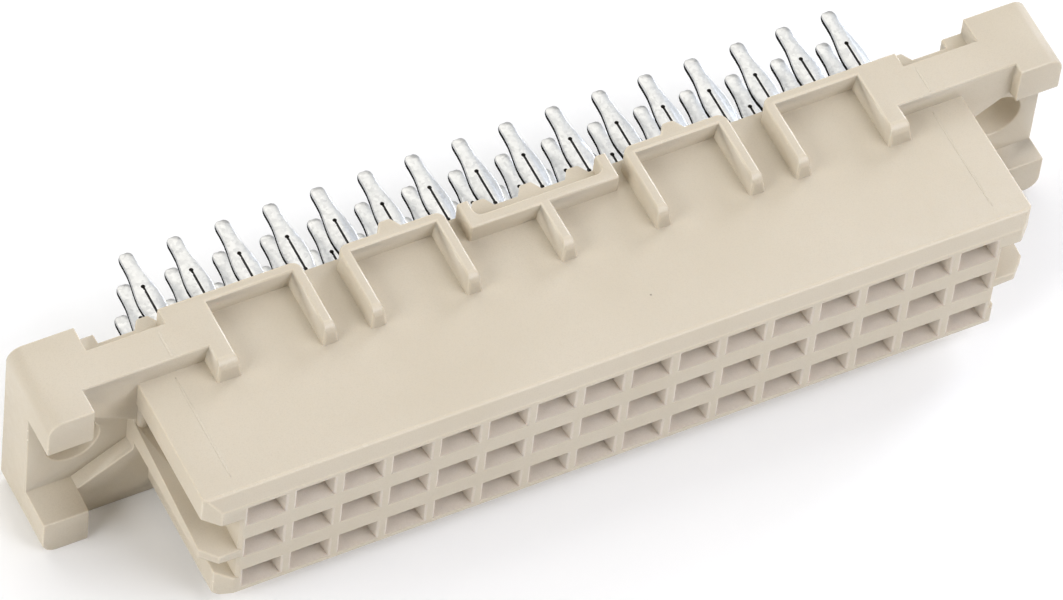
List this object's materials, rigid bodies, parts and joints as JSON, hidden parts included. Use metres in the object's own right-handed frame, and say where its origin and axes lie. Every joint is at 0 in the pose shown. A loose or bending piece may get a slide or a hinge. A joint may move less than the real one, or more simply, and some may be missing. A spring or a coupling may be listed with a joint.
{
  "type": "backplane connector",
  "caption": "Moulded female board connector with rows of funnel-mouthed sockets at the front, press-fit contact tails at the rear and a screw flange at each end.",
  "frame": {"origin": "on the board plane, midway between the two screw holes and on the middle row of contacts", "axes": "+X along the rows of contacts, +Y from the mating face to the board, +Z across the rows; the connector lies on its long side"},
  "size_m": [0.0548, 0.0162, 0.0104],
  "materials": {
    "body": "fine moulded, glass-filled, pale beige",
    "contact": "tin plated, satin"
  },
  "bodies": {
    "root": {"housing": "body", "contact_a1": "contact", "contact_a2": "contact", "contact_a3": "contact", "contact_a4": "contact", "contact_a5": "contact", "contact_a6": "contact", "contact_a7": "contact", "contact_a8": "contact", "contact_a9": "contact", "contact_a10": "contact", "contact_a11": "contact", "contact_a12": "contact", "contact_a13": "contact", "contact_a14": "contact", "contact_a15": "contact", "contact_a16": "contact", "contact_b1": "contact", "contact_b2": "contact", "contact_b3": "contact", "contact_b4": "contact", "contact_b5": "contact", "contact_b6": "contact", "contact_b7": "contact", "contact_b8": "contact", "contact_b9": "contact", "contact_b10": "contact", "contact_b11": "contact", "contact_b12": "contact", "contact_b13": "contact", "contact_b14": "contact", "contact_b15": "contact", "contact_b16": "contact", "contact_c1": "contact", "contact_c2": "contact", "contact_c3": "contact", "contact_c4": "contact", "contact_c5": "contact", "contact_c6": "contact", "contact_c7": "contact", "contact_c8": "contact", "contact_c9": "contact", "contact_c10": "contact", "contact_c11": "contact", "contact_c12": "contact", "contact_c13": "contact", "contact_c14": "contact", "contact_c15": "contact", "contact_c16": "contact"}
  },
  "joints": []
}
